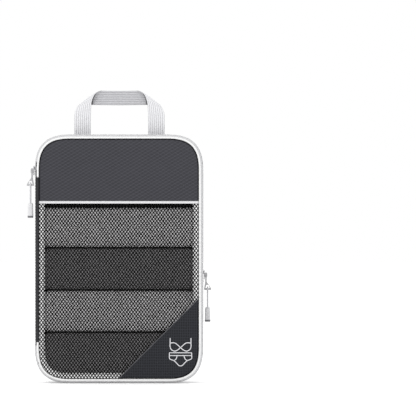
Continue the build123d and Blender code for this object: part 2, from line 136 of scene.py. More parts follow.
class Shader:
    """A small helper round one material's nodes."""

    def __init__(self, name, color, rough, sheen=0.0, specular=0.3, metallic=0.0, coat=0.0):
        self.tone = self.base = color
        self.material = bpy.data.materials.new(name)
        self.material.use_nodes = True
        self.tree = self.material.node_tree
        self.tree.nodes.clear()
        output = self.node("OutputMaterial")
        self.bsdf = self.node("BsdfPrincipled")
        self.tree.links.new(self.bsdf.outputs[0], output.inputs[0])
        self.put(self.bsdf.inputs["Base Color"], color)
        self.rough(rough)
        self.put(self.bsdf.inputs["Metallic"], metallic)
        self.put(self.bsdf.inputs["Specular IOR Level"], specular)
        self.put(self.bsdf.inputs["Sheen Weight"], sheen)
        self.put(self.bsdf.inputs["Sheen Roughness"], 0.4)
        self.put(self.bsdf.inputs["Coat Weight"], coat)

    def node(self, kind):
        return self.tree.nodes.new("ShaderNode" + kind)

    def put(self, socket, value):
        if isinstance(value, (int, float)):
            socket.default_value = value
        elif isinstance(value, tuple):
            socket.default_value = value if len(value) == len(socket.default_value) else (*value, 1)
        else:
            self.tree.links.new(value, socket)

    def math(self, operation, a, b=0.0, c=0.0):
        node = self.node("Math")
        node.operation = operation
        for socket, value in zip(node.inputs, (a, b, c)):
            self.put(socket, value)
        return node.outputs[0]

    def place(self, source):
        """Millimetre coordinates: the cloth's own (along, across), or the part's x, y, z."""
        if source == "weave":
            node = self.node("Attribute")
            node.attribute_name = "weave"
            return node.outputs["Vector"]
        node = self.node("TexCoord")
        scale = self.node("VectorMath")
        scale.operation = "SCALE"
        scale.inputs["Scale"].default_value = 1 / MM
        self.tree.links.new(node.outputs["Object"], scale.inputs[0])
        return scale.outputs[0]

    def split(self, vector):
        node = self.node("SeparateXYZ")
        self.tree.links.new(vector, node.inputs[0])
        return node.outputs

    def noise(self, vector, scale, detail=2.0, rough=0.5):
        node = self.node("TexNoise")
        self.tree.links.new(vector, node.inputs["Vector"])
        for name, value in (("Scale", scale), ("Detail", detail), ("Roughness", rough)):
            self.put(node.inputs[name], value)
        return node.outputs["Fac"]

    def band(self, value, low, high, to_low=0.0, to_high=1.0):
        node = self.node("MapRange")
        node.interpolation_type = "SMOOTHSTEP"
        for socket, v in zip(node.inputs, (value, low, high, to_low, to_high)):
            self.put(socket, v)
        return node.outputs[0]

    def ripple(self, value, pitch):
        """A wave between 0 and 1 with the given pitch."""
        turn = self.math("MULTIPLY", value, 2 * math.pi / pitch)
        return self.math("MULTIPLY_ADD", self.math("SINE", turn), 0.5, 0.5)

    def lines(self, value, pitch, width):
        """1 on thin lines at the given pitch, 0 between them."""
        cell = self.math("FRACT", self.math("DIVIDE", value, pitch))
        away = self.math("ABSOLUTE", self.math("SUBTRACT", cell, 0.5))
        return self.band(away, 0.5 - width / pitch, 0.5)

    def mix(self, factor, a, b):
        node = self.node("Mix")
        node.data_type = "RGBA"
        self.put(node.inputs[0], factor)
        self.put(node.inputs[6], a)
        self.put(node.inputs[7], b)
        return node.outputs[2]

    def cloud(self, mask, dark, light=1.0):
        """Starts the colour as two tones of it, mixed by the mask."""
        self.base = self.mix(mask, tint(self.tone, dark), tint(self.tone, light))

    def layer(self, mask, amount, shade):
        """Lays another tone of the colour over it where the mask is bright."""
        self.base = self.mix(self.math("MULTIPLY", mask, amount), self.base, tint(self.tone, shade))

    def groove(self, distance):
        """Paints shade on the cloth within about 2 mm of a seam, where the seam's groove would be in shadow.
        """
        self.layer(self.band(distance, 0.2, 2.4, 1.0, 0.0), 0.85, 0.06)

    def rough(self, value):
        self.put(self.bsdf.inputs["Roughness"], value)

    def bump(self, height, distance):
        node = self.node("Bump")
        node.inputs["Strength"].default_value = 1.0
        node.inputs["Distance"].default_value = distance * MM
        self.put(node.inputs["Height"], height)
        self.tree.links.new(node.outputs[0], self.bsdf.inputs["Normal"])

    def done(self, height, distance):
        """Connects the colour and a bump, and gives the material."""
        self.put(self.bsdf.inputs["Base Color"], self.base)
        self.bump(height, distance)
        return self.material


def tint(color, factor):
    return tuple(c * factor for c in color)


RIPSTOP_PITCH = 3.5
RIPSTOP_TURN = math.radians(60)
DOBBY_PITCH = (2.7, 3.2)
WEBBING_WIDTH = 19.5
RIB_PITCH = WEBBING_WIDTH / 8


def ripstop(name, color, seam=False):
    """Plain weave with a raised diamond grid of thicker threads, with painted shade in the groove at a seam
    when seam is set.
    """
    shader = Shader(name, color, 0.66, sheen=0.04, specular=0.12)
    place = shader.place("weave")
    x, y, z = shader.split(place)
    along = shader.math("MULTIPLY", x, math.cos(RIPSTOP_TURN))
    across = shader.math("MULTIPLY", y, math.sin(RIPSTOP_TURN))
    falling = shader.lines(shader.math("ADD", along, across), RIPSTOP_PITCH, 0.9)
    rising = shader.lines(shader.math("SUBTRACT", along, across), RIPSTOP_PITCH, 1.0)
    grid = shader.math("MULTIPLY_ADD", falling, 0.6, rising)
    fine = shader.math("MULTIPLY", shader.ripple(x, 0.75), shader.ripple(y, 0.75))
    cloud = shader.noise(place, 0.05, 3)
    shader.cloud(cloud, 0.82, 1.2)
    shader.layer(fine, 0.45, 0.55)
    shader.layer(shader.band(shader.noise(place, 1.4, 2, 0.7), 0.5, 0.8), 0.5, 1.5)
    shader.layer(grid, 0.45, 1.9)
    # painted shade in the groove along the seam
    if seam:
        shader.groove(z)
    shader.rough(shader.band(cloud, 0.2, 0.8, 0.58, 0.74))
    return shader.done(shader.math("MULTIPLY_ADD", fine, 0.4, grid), 0.16)


def dobby(name, color):
    """A plain dark cloth with a small woven square grid."""
    shader = Shader(name, color, 0.7, sheen=0.04, specular=0.12)
    place = shader.place("weave")
    x, y, z = shader.split(place)
    columns, rows = shader.lines(x, DOBBY_PITCH[0], 0.8), shader.lines(y, DOBBY_PITCH[1], 0.8)
    grid = shader.math("MAXIMUM", columns, rows)
    fine = shader.math("MULTIPLY", shader.ripple(x, 0.6), shader.ripple(y, 0.6))
    shader.cloud(shader.noise(place, 0.04, 3), 0.85, 1.15)
    shader.layer(grid, 0.7, 2.6)
    shader.layer(shader.band(shader.noise(place, 1.1, 2, 0.7), 0.5, 0.85), 0.6, 1.9)
    shader.layer(fine, 0.35, 0.5)
    # painted shade in the groove along the patch's seam
    shader.groove(z)
    return shader.done(shader.math("MULTIPLY_ADD", fine, 0.5, grid), 0.12)


def plain_weave(name, color, pitch=0.7, depth=0.12, source="weave", dirt=0.12, sheen=0.15):
    """Simple over and under weave with a faint cloudiness."""
    shader = Shader(name, color, 0.8, sheen=sheen)
    place = shader.place(source)
    x, y, z = shader.split(place)
    if source != "weave":
        x, y = shader.math("ADD", x, y), z
    over = shader.math("SUBTRACT", shader.ripple(x, pitch), shader.ripple(y, pitch))
    over = shader.math("ABSOLUTE", over)
    fuzz = shader.noise(place, 2.2, 3, 0.7)
    shader.cloud(shader.noise(place, 0.06, 3), 1 - dirt)
    shader.layer(over, 0.35, 0.72)
    shader.layer(shader.band(fuzz, 0.55, 0.85), 0.35, 0.8)
    return shader.done(shader.math("MULTIPLY_ADD", fuzz, 0.4, over), depth)


def zip_tape_cloth(name, color):
    """Herringbone tape: slanting ribs that change side along the tape's middle."""
    shader = Shader(name, color, 0.75, sheen=0.15)
    place = shader.place("weave")
    x, y, z = shader.split(place)
    slant = shader.math("ADD", x, shader.math("ABSOLUTE", shader.math("SUBTRACT", y, 2.4)))
    rib = shader.ripple(slant, 1.1)
    fuzz = shader.noise(place, 2.0, 3, 0.7)
    shader.layer(rib, 0.5, 0.6)
    shader.layer(shader.band(fuzz, 0.5, 0.8), 0.4, 0.7)
    height = shader.math("MULTIPLY_ADD", shader.ripple(y, 0.8), 0.3, shader.math("ADD", rib, fuzz))
    return shader.done(height, 0.15)


def webbing_cloth(name, color):
    """Webbing with lengthwise ribs and short weft stitches between them, with painted shade in a fold."""
    shader = Shader(name, color, 0.72, sheen=0.2)
    place = shader.place("weave")
    x, y, z = shader.split(place)
    rib = shader.math("SUBTRACT", 1.0, shader.lines(y, RIB_PITCH, 0.75))
    weft = shader.ripple(shader.math("ADD", x, shader.math("MULTIPLY", rib, 0.4)), 0.9)
    fuzz = shader.noise(place, 1.8, 3, 0.7)
    dash = shader.math("MULTIPLY_ADD", shader.noise(place, 0.9, 2), 0.5, 0.5)
    shader.layer(shader.math("SUBTRACT", 1.0, rib), dash, 0.45)
    shader.layer(weft, 0.2, 0.7)
    shader.layer(shader.noise(place, 0.07, 2), 0.25, 0.86)
    # painted shade from the weave's third value, where the handle marks a fold's shadow
    shader.layer(z, 1.0, 0.1)
    ribs = shader.math("MULTIPLY_ADD", weft, 0.35, rib)
    return shader.done(shader.math("MULTIPLY_ADD", fuzz, 0.3, ribs), 0.2)


def yarn(name, color, rough=0.55, specular=0.3):
    """Twisted thread."""
    shader = Shader(name, color, rough, specular=specular)
    twist = shader.noise(shader.place("object"), 1.6, 3, 0.7)
    shader.cloud(twist, 0.6, 1.6)
    return shader.done(twist, 0.08)


def plastic(name, color, rough=0.45, speck=0.2, grain=0.05):
    """Moulded plastic or rubber with a fine grain."""
    shader = Shader(name, color, rough, specular=0.45)
    place = shader.place("object")
    fine = shader.noise(place, 3.0, 2)
    shader.cloud(shader.noise(place, 0.3, 3), 1 - speck)
    shader.rough(shader.band(fine, 0.2, 0.8, rough - 0.08, rough + 0.1))
    return shader.done(fine, grain)


def enamel(name, color):
    """Zinc slider metal under a thin coat of paint, a little worn."""
    shader = Shader(name, color, 0.34, specular=0.5, metallic=0.6, coat=0.2)
    place = shader.place("object")
    wear = shader.noise(place, 0.55, 4, 0.65)
    shader.layer(shader.band(wear, 0.62, 0.74), 1.0, 0.62)
    shader.rough(shader.band(wear, 0.3, 0.8, 0.26, 0.48))
    return shader.done(shader.noise(place, 1.2, 2), 0.03)


def braid(name, color):
    """Braided cord."""
    shader = Shader(name, color, 0.75, sheen=0.15)
    x, y, z = shader.split(shader.place("weave"))
    left = shader.ripple(shader.math("ADD", x, y), 1.5)
    right = shader.ripple(shader.math("SUBTRACT", x, y), 1.5)
    both = shader.math("MAXIMUM", left, right)
    shader.cloud(both, 0.6)
    return shader.done(both, 0.18)


GREY_DARK = (0.036, 0.036, 0.042)
cloth_main = ripstop("ripstop_dark", GREY_DARK)
# the front panel's ripstop, with painted shade along its seam
cloth_panel = ripstop("ripstop_dark_panel", GREY_DARK, seam=True)
cloth_patch = dobby("dobby_dark", (0.014, 0.0147, 0.0175))
cloth_spine = plain_weave("spine_dark", (0.013, 0.013, 0.0145), dirt=0.25, sheen=0.1)
cloth_spine_light = plain_weave("spine_piping_dark", (0.028, 0.028, 0.031), dirt=0.25, sheen=0.05)
cloth_piping = plain_weave("piping_white", (0.76, 0.76, 0.76), pitch=0.55, depth=0.05, dirt=0.04)
cloth_trim = plain_weave("trim_white", (0.68, 0.68, 0.69), pitch=0.8, depth=0.12)
cloth_binding = plain_weave("binding_white", (0.88, 0.88, 0.88), pitch=0.8, depth=0.08, dirt=0.04)
cloth_lining = plain_weave("lining_white", (0.80, 0.80, 0.80), pitch=0.9, depth=0.08)
cloth_tape = zip_tape_cloth("zip_tape_grey", (0.60, 0.60, 0.61))
cloth_webbing = webbing_cloth("webbing_grey", (0.74, 0.74, 0.76))
# a darker copy of the webbing for its turned-back faces: painted shade on the grip behind the legs
cloth_webbing_shaded = webbing_cloth("webbing_grey_reverse_shaded", (0.50, 0.50, 0.52))
thread_light = yarn("thread_light", (0.55, 0.55, 0.56), 0.6)
thread_dark = yarn("thread_dark", (0.04, 0.04, 0.045), 0.6)
mesh_yarn = yarn("mesh_black", (0.004, 0.004, 0.004), 0.6, 0.06)
coil_plastic = plastic("coil_nylon", (0.70, 0.70, 0.71), 0.35)
print_ink = plastic("print_grey", (0.66, 0.66, 0.68), 0.6)
slider_paint = enamel("slider_enamel", (0.40, 0.40, 0.41))
grip_rubber = plastic("grip_rubber", (0.64, 0.64, 0.65), 0.55, speck=0.08)
grip_foot = plastic("grip_foot", (0.16, 0.16, 0.17), 0.6)
cord_braid = braid("cord_braid", (0.66, 0.66, 0.68))
cloth_edge = yarn("patch_edge_grey", (0.11, 0.11, 0.12), 0.7)
small_cloth = plain_weave("small_tab_cloth", (0.6, 0.6, 0.61), source="object")

# ---- mesh helpers


def link(name, data):
    obj = bpy.data.objects.new(name, data)
    bpy.context.scene.collection.objects.link(obj)
    return obj


def new_object(name, points, faces, weave=None, smooth=True):
    """A mesh from millimetre points. weave holds one (along, across) pair for every face corner."""
    mesh = bpy.data.meshes.new(name)
    mesh.from_pydata((np.asarray(points, float) * MM).tolist(), [], faces)
    if weave is not None:
        layer = mesh.attributes.new("weave", "FLOAT_VECTOR", "CORNER")
        flat = np.zeros((len(weave), 3), np.float32)
        flat[:, : weave.shape[1]] = weave
        layer.data.foreach_set("vector", flat.ravel())
    mesh.polygons.foreach_set("use_smooth", [smooth] * len(mesh.polygons))
    return link(name, mesh)


def grid_object(name, points, along, across, wrap_along=False, wrap_across=False, shade=None):
    """A surface from a grid of points [along][across]. The two lists give the cloth's own coordinates, with
    one more value than there are points where the grid closes on itself. shade is one more value a point."""
    rows, columns = points.shape[:2]
    index = np.arange(rows * columns).reshape(rows, columns)
    i = np.arange(rows if wrap_along else rows - 1)
    j = np.arange(columns if wrap_across else columns - 1)
    i, j = [a.ravel() for a in np.meshgrid(i, j, indexing="ij")]
    i = np.stack([i, i + 1, i + 1, i], 1)
    j = np.stack([j, j, j + 1, j + 1], 1)
    faces = index[i % rows, j % columns]
    if np.ndim(across) == 1:
        along, across = np.meshgrid(along, across, indexing="ij")
    weave = [along[i, j].ravel(), across[i, j].ravel()]
    if shade is not None:
        weave.append(shade.ravel()[faces.ravel()])
    return new_object(name, points.reshape(-1, 3), faces.tolist(), np.stack(weave, 1))


def solidify(obj, thickness, offset=0.0):
    modifier = obj.modifiers.new("cloth", "SOLIDIFY")
    modifier.thickness = thickness * MM
    modifier.offset = offset
    return obj


def settle(obj, body, material, nodes=()):
    """Gives a piece its material, its body and the CAD nodes that it stands for."""
    obj.data.materials.clear()
    obj.data.materials.append(material)
    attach(obj, body)
    if nodes:
        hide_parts(*nodes)
    return obj


def signed_power(value, power):
    return math.copysign(abs(value) ** power, value)


def join(name, objects):
    """Several meshes as one piece."""
    for other in bpy.context.selected_objects:
        other.select_set(False)
    for obj in objects:
        obj.select_set(True)
    bpy.context.view_layer.objects.active = objects[0]
    bpy.ops.object.join()
    objects[0].name = name
    objects[0].data.name = name
    objects[0].select_set(False)
    return objects[0]


def recalc(obj, cap=False):
    """Turns a piece's faces outwards, after it closes the piece's open ends if cap is true."""
    work = bmesh.new()
    work.from_mesh(obj.data)
    if cap:
        edges = [e for e in work.edges if e.is_boundary]
        bmesh.ops.holes_fill(work, edges=edges, sides=0)
    bmesh.ops.recalc_face_normals(work, faces=work.faces)
    work.to_mesh(obj.data)
    work.free()
    return obj


# ---- the outline
def rim(s):
    """Points and outward normals on the outline, s millimetres clockwise from the left side's lower end."""
    s = np.mod(np.asarray(s, float), ROUND)
    x, z, nx, nz = (np.interp(s, RIM_RUN, column) for column in RIM_TABLE.T)
    size = np.hypot(nx, nz)
    return x, z, nx / size, nz / size


def stations(start, end, step, closed):
    """Places along the outline, and the same with the end's where the piece closes on itself."""
    along = np.linspace(start, end, max(2, int(round((end - start) / step)) + 1))
    return along[:-1] if closed else along, along


def rim_sheet(name, section, start, end, thickness, step=3.0, closed=False, ripple=0.0, seed=0.0):
    """Cloth along the outline. The section is a list of (inset, y). ripple moves its middle in and out."""
    s, along = stations(start, end, step, closed)
    x, z, nx, nz = rim(s)
    section = np.array(section, float)
    length = np.concatenate([[0], np.cumsum(np.hypot(*np.diff(section, axis=0).T))])
    middle = np.sin(np.pi * length / length[-1])
    points = np.zeros((len(s), len(section), 3))
    for j, (inset, y) in enumerate(section):
        wave = np.zeros(len(s))
        if ripple:
            broad = np.array([noise.noise((a / 17, y / 6, seed)) for a in s])
            wave = broad + np.array([0.5 * noise.noise((a / 6, y / 4, seed + 9)) for a in s])
        out = -inset + ripple * middle[j] * wave
        points[:, j] = np.stack([x + nx * out, np.full(len(s), y), z + nz * out], 1)
    obj = grid_object(name, points, along, length, wrap_along=closed)
    if thickness:
        solidify(obj, thickness, -1.0)
    return obj


def rim_tube(name, inset, y, radius, start, end, closed=False, sides=16, wobble=0.02):
    """A round cord along the outline, a little uneven."""
    s, along = stations(start, end, 2.5, closed)
    x, z, nx, nz = rim(s)
    angle = np.linspace(0, 2 * math.pi, sides + 1)
    points = np.zeros((len(s), sides, 3))
    swell = np.array([1 + wobble * noise.noise((a / 9, inset, y)) for a in s])
    for j in range(sides):
        out = -inset + radius * swell * math.cos(angle[j])
        deep = y + radius * swell * math.sin(angle[j])
        points[:, j] = np.stack([x + nx * out, deep, z + nz * out], 1)
    obj = grid_object(name, points, along, angle * radius, wrap_along=closed, wrap_across=True)
    return recalc(obj, cap=not closed)


def tube_points(path, radius, sides):
    """Rings round a path of points, turned without twist."""
    path = np.asarray(path, float)
    ahead = np.gradient(path, axis=0)
    ahead /= np.linalg.norm(ahead, axis=1)[:, None]
    side = np.cross(ahead[0], (0.3, 0.9, 0.2))
    side /= np.linalg.norm(side)
    rings = []
    radius = np.broadcast_to(radius, len(path))
    for point, along, r in zip(path, ahead, radius):
        side = side - along * side.dot(along)
        side /= np.linalg.norm(side)
        up = np.cross(along, side)
        angle = np.linspace(0, 2 * math.pi, sides, endpoint=False)
        rings.append(point + r * (np.outer(np.cos(angle), side) + np.outer(np.sin(angle), up)))
    return np.array(rings)


def tube(name, path, radius, sides=8, closed=False):
    rings = tube_points(path, radius, sides)
    gaps = np.linalg.norm(np.diff(np.asarray(path, float), axis=0), axis=1)
    along = np.concatenate([[0], np.cumsum(gaps)])
    if closed:
        along = np.append(along, along[-1] + gaps.mean())
    across = np.linspace(0, 2 * math.pi * np.max(radius), sides + 1)
    obj = grid_object(name, rings, along, across, wrap_along=closed, wrap_across=True)
    return recalc(obj, cap=not closed)


def coil(name, start, end, y_from, y_to, phase, closed=False):
    """One half of a coil zip: an elongated helix of nylon wire along the outline."""
    pitch, wire, per_turn, sides = 1.45, 0.3, 10, 5
    turns = int(round((end - start) / pitch))
    count = turns * per_turn
    s = np.linspace(start, end, count + 1)
    if closed:
        s = s[:-1]
    turn = 2 * math.pi * (np.arange(len(s)) / per_turn + phase)
    x, z, nx, nz = rim(s)
    out = 0.1 + 0.6 * np.cos(turn)
    deep = (y_from + y_to) / 2 + ((y_to - y_from) / 2 - wire) * np.sin(turn)
    path = np.stack([x + nx * out, deep, z + nz * out], 1)
    return tube(name, path, wire, sides, closed)


def stitches(name, paths, length, gap, radius, sides):
    """Rows of thread stitches. Each path is a dense list of surface points and their outward directions."""
    points, faces = [], []
    for path, lift in paths:
        path = np.asarray(path, float)
        lift = np.broadcast_to(np.asarray(lift, float), path.shape)
        run = np.concatenate([[0], np.cumsum(np.linalg.norm(np.diff(path, axis=0), axis=1))])
        at = 0.4
        while at + length < run[-1]:
            t = np.linspace(at, at + length, 5)
            centre = np.stack([np.interp(t, run, path[:, k]) for k in range(3)], 1)
            up = np.stack([np.interp(t, run, lift[:, k]) for k in range(3)], 1)
            centre = centre + up * (np.sin(np.linspace(0, math.pi, 5)) * 0.9 - 0.55)[:, None] * radius
            rings = tube_points(centre, radius * np.array([0.55, 0.95, 1, 0.95, 0.55]), sides)
            base = len(points)
            points.extend(rings.reshape(-1, 3))
            for i in range(4):
                for j in range(sides):
                    k = (j + 1) % sides
                    a, b = base + i * sides, base + (i + 1) * sides
                    faces.append([a + j, b + j, b + k, a + k])
            faces.append([base + j for j in range(sides)][::-1])
            faces.append([base + 4 * sides + j for j in range(sides)])
            at += length + gap
    return recalc(new_object(name, points, faces))


def rim_row(y, start, end):
    """A row of stitches along the outline: its points, and the way that the cloth faces there."""
    s = np.linspace(start, end, max(2, int(end - start)))
    x, z, nx, nz = rim(s)
    return np.stack([x, np.full(len(s), y), z], 1), np.stack([nx, np.zeros(len(s)), nz], 1)


def sew(name, body, thread, rows, length, gap, radius=0.15, sides=5, nodes=()):
    settle(stitches(name, rows, length, gap, radius, sides), body, thread, nodes)


# ---- the front panel's surface
PANEL_CORNER = CORNER - PANEL_INSET
PANEL_POWER = 2.92


def half_at(z):
    """The front panel's half width at a height."""
    over = np.clip(np.maximum(z - ARC_HIGH, ARC_LOW - np.asarray(z, float)), 0, PANEL_CORNER)
    return ARC_X + (PANEL_CORNER**PANEL_POWER - over**PANEL_POWER) ** (1 / PANEL_POWER)


def rim_distance(x, z):
    """How far a point of the front panel is from the panel's edge."""
    dx = np.maximum(np.abs(x) - ARC_X, 1e-6)
    dz = np.maximum(np.maximum(z - ARC_HIGH, ARC_LOW - z), 1e-6)
    return PANEL_CORNER - (dx**PANEL_POWER + dz**PANEL_POWER) ** (1 / PANEL_POWER)


def smooth_step(t):
    t = np.clip(t, 0, 1)
    return t * t * (3 - 2 * t)


def front_y(x, z, puckers=0.0):
    """The depth of the front panel's cloth: a shallow crown that dips to the seam at its edge."""
    x, z = np.broadcast_arrays(np.asarray(x, float), np.asarray(z, float))
    d = rim_distance(x, z)
    y = PANEL_Y + 0.9 - 1.3 * smooth_step(d / 1.6) - 0.9 * smooth_step(d / 10) - 0.7 * smooth_step(d / 60)
    if puckers:
        places = list(zip(x.ravel(), z.ravel()))
        flat = np.array([noise.noise((a / 16, b / 16, 3)) for a, b in places])
        flat += np.array([0.5 * noise.noise((a / 6, b / 6, 8)) for a, b in places])
        y = y + puckers * flat.reshape(x.shape) * smooth_step(d / 5)
    return y


def panel_rows(z_from, z_to, step):
    """Heights between two levels, closer together where the outline's corner turns."""
    turn = PANEL_CORNER * np.sin(np.linspace(0, math.pi / 2, 61)) ** (2 / PANEL_POWER)
    rows = list(ARC_HIGH + turn) + list(ARC_LOW - turn)
    rows += list(np.arange(ARC_LOW, ARC_HIGH, step))
    rows = [z for z in rows if z_from < z < z_to]
    rows = sorted([z_from, z_to] + rows)
    kept = [rows[0]]
    for z in rows[1:]:
        if z - kept[-1] > 0.05:
            kept.append(z)
    return np.array(kept)


def fan(count):
    """Values from -1 to 1, closer together towards both ends."""
    u = np.linspace(-1, 1, count)
    return np.sign(u) * (1 - (1 - np.abs(u)) ** 1.6)


# ---- lid
NET_CELL = (3.74, 5.0)
NET_HALF_THICK = 0.4


def panel_grid(z, u, left=None):
    """Places over the front panel's width at the heights z, from its left edge or from left."""
    half = half_at(z)
    if left is None:
        x = half[:, None] * u[None]
    else:
        x = left[:, None] + (half - left)[:, None] * u[None]
    return x, np.repeat(z[:, None], len(u), 1)


def panel_cloth(name, x, y, z, thickness, offset, shade=None):
    """A flat panel of cloth; shade is its distance from the seam, which its material uses to paint shade in
    the groove there.
    """
    obj = grid_object(name, np.stack([x, y, z], 2), x, z, shade=shade)
    return solidify(obj, thickness, offset)


def top_panel():
    x, z = panel_grid(panel_rows(DIVIDER_LOW[2] + 0.8, PANEL_TOP, 2.2), fan(101))
    obj = panel_cloth("front_top_cloth", x, front_y(x, z, 0.35), z, 0.6, 1.0, rim_distance(x, z))
    settle(obj, "lid", cloth_panel, ["lid_top_panel"])


def net():
    """A knitted net with upright oval holes, thick knots beside them and thin yarn between."""
    cell_x, cell_z = NET_CELL
    edge = [(0, 0.333), (0.25, 0.25), (0.5, 0.167), (0.5, -0.167), (0.25, -0.25)]
    hole = [(0, 0.282), (0.146, 0.202), (0.256, 0.075), (0.256, -0.075), (0.146, -0.202)]
    edge = np.array(edge + [(-a, -b) for a, b in edge]) * (cell_x, cell_z)
    hole = np.array(hole + [(-a, -b) for a, b in hole]) * (cell_x, cell_z)
    points, index, faces = [], {}, []

    def vertex(x, z, off):
        key = (round(x * 50), round(z * 50), round(off * 100))
        if key not in index:
            index[key] = len(points)
            points.append((x, z, off))
        return index[key]

    row, z = 0, MESH_BOTTOM - 1.5
    while z < DIVIDER_LOW[2] + 1.5:
        count = int(PANEL_HALF / cell_x) + 2
        for k in range(-count, count + 1):
            x = (k + 0.5 * (row % 2)) * cell_x
            if rim_distance(x, z) < -1.0 or z - (x + PATCH_LINE) < -6.5:
                continue
            front = [vertex(x + a, z + b, -NET_HALF_THICK) for a, b in edge]
            lip = [vertex(x + a, z + b, 0) for a, b in hole]
            back = [vertex(x + a, z + b, NET_HALF_THICK) for a, b in edge]
            for m in range(len(edge)):
                n = (m + 1) % len(edge)
                faces.append([front[m], front[n], lip[n], lip[m]])
                faces.append([lip[m], lip[n], back[n], back[m]])
        row += 1
        z += cell_z / 2
    x, z, off = np.array(points).T
    obj = new_object("window_net", np.stack([x, front_y(x, z) + 0.55 + off, z], 1), faces)
    settle(recalc(obj), "lid", mesh_yarn, ["lid_mesh_window"])


def seam_binding():
    """The white tape that binds the seam behind the window, along both sides and the bottom."""
    right = SIDE + 2 * ARC + ACROSS + (ARC_HIGH - DIVIDER_LOW[2])
    left = ROUND + (DIVIDER_LOW[2] - ARC_LOW)
    y = PANEL_Y + 1.0
    section = [(0.5, 0.4), (1.8, -0.3), (4, -0.5), (7.4, -0.4)]
    section = [(PANEL_INSET + inset, y + deep) for inset, deep in section]
    tape = rim_sheet("seam_binding_tape", section, right, left, 0.4, step=2.0)
    settle(tape, "lid", cloth_binding, ["lid_seam_binding"])


def divider():
    """A folded tape across the panel, ribbed along its length."""
    x = np.linspace(-PANEL_HALF, PANEL_HALF, 126)
    z_mid = (DIVIDER_LOW[2] + DIVIDER_HIGH[2]) / 2
    height = DIVIDER_HIGH[2] - DIVIDER_LOW[2]
    angle = np.linspace(0, 2 * math.pi, 17)[:-1]
    points = np.zeros((len(x), len(angle), 3))
    base = front_y(x, np.full_like(x, z_mid))
    for j, a in enumerate(angle):
        up = signed_power(math.sin(a), 0.6) * height / 2
        out = signed_power(math.cos(a), 0.6) * 0.6
        points[:, j] = np.stack([x, base - 0.25 - out, np.full_like(x, z_mid + up)], 1)
    across = np.linspace(0, 2 * height, len(angle) + 1)
    obj = grid_object("divider_tape", points, x, across, wrap_across=True)
    settle(recalc(obj, cap=True), "lid", cloth_trim, ["lid_divider_trim"])
    rows = []
    for dz in (-1.15, 1.15):
        path = np.stack([x, base - 0.86, np.full_like(x, z_mid + dz)], 1)
        rows.append((path, FORWARD))
    sew("divider_stitching", "lid", thread_light, rows, 1.8, 0.8, 0.16, 6)


def patch():
    rows = panel_rows(PATCH_LOW[2], PATCH_HIGH[2], 1.8)
    x, z = panel_grid(rows, fan(121)[60:], np.maximum(rows - PATCH_LINE, -half_at(rows)))
    obj = panel_cloth("corner_patch_cloth", x, front_y(x, z, 0.12) - 0.25, z, 0.5, 1.0, rim_distance(x, z))
    settle(obj, "lid", cloth_patch, ["lid_corner_patch"])
    t = np.linspace(0, 1, 120)
    ex = PATCH_LOW[0] + 0.3 + (PATCH_HIGH[0] - PATCH_LOW[0] - 0.6) * t
    ez = ex + PATCH_LINE
    edge = np.stack([ex, front_y(ex, ez) - 0.3, ez], 1)
    settle(tube("patch_edge_cord", edge, 0.32, 8), "lid", cloth_edge)
    row = np.stack([ex + 1.3, front_y(ex + 1.3, ez - 1.3) - 0.52, ez - 1.3], 1)
    sew("patch_stitching", "lid", thread_dark, [(row, FORWARD)], 2.2, 1.0, 0.16, 6)


PRINT_SHIFT = 1.5
PRINT_WIDTH = 1.1
PRINT_LIFT = 0.62
PRINT_THICK = 0.14


def ribbon(points):
    """A flat printed line on the patch, as a thin closed strip."""
    points = np.asarray(points, float)
    ahead = np.gradient(points, axis=0)
    ahead /= np.linalg.norm(ahead, axis=1)[:, None]
    side = np.stack([-ahead[:, 1], ahead[:, 0]], 1)
    grid = []
    for a, b in ((-0.5, 0.0), (-0.42, 1.0), (0.42, 1.0), (0.5, 0.0)):
        p = points + side * PRINT_WIDTH * a
        y = front_y(p[:, 0], p[:, 1]) - PRINT_LIFT - PRINT_THICK * b
        grid.append(np.stack([p[:, 0], y, p[:, 1]], 1))
    grid = np.stack(grid, 1)
    along = np.arange(len(points), dtype=float)
    obj = grid_object("ink", grid, along, [0, 1, 2, 3, 4], wrap_across=True)
    return recalc(obj, cap=True)


def curve_points(knots, count=24):
    """A smooth line through the knots."""
    knots = np.asarray(knots, float)
    k = np.vstack([2 * knots[0] - knots[1], knots, 2 * knots[-1] - knots[-2]])
    out = []
    for i in range(1, len(k) - 2):
        t = np.linspace(0, 1, count, endpoint=False)[:, None]
        a, b, c, d = k[i - 1], k[i], k[i + 1], k[i + 2]
        square, cube = 2 * a - 5 * b + 4 * c - d, 3 * b - a - 3 * c + d
        out.append(0.5 * (2 * b + (c - a) * t + square * t**2 + cube * t**3))
    out.append(knots[-1:])
    return np.vstack(out)


def pictogram():
    """The printed two-piece swimsuit, drawn in millimetres from its middle."""
    low, high = span("lid_pictogram")
    cx, cz = (low[0] + high[0]) / 2 + PRINT_SHIFT, (low[2] + high[2]) / 2 - 0.2
    strap = [(12.3, 16.7), (12.3, 13.5), (12.3, 10.6), (12.4, 6.8), (11.2, 3.4), (8.6, 1.6), (6.4, 1.3)]
    strap += [(3.4, 2.6), (0, 5.3), (-3.4, 8.5), (-6.4, 10.7), (-9.2, 11.1), (-12.3, 10.7)]
    side = [(13.1, -0.7), (13.2, -4.0), (13.1, -7.4), (10.9, -8.9), (8.0, -10.0), (5.0, -12.6)]
    side += [(2.2, -15.6), (0, -16.4)]
    leg = [(4.1, -4.1), (4.6, -6.4), (5.8, -8.6), (8.0, -10.0)]
    ink = []
    for s in (-1, 1):
        for line, count in ((strap, 8), (side, 6), (leg, 6)):
            knots = [(cx + s * a, cz + b) for a, b in line]
            ink.append(ribbon(curve_points(knots, count)))
    for z in (-0.7, -4.0):
        ink.append(ribbon([(cx - 13.4, cz + z), (cx, cz + z), (cx + 13.4, cz + z)]))
    settle(join("pictogram_ink", ink), "lid", print_ink, ["lid_pictogram"])


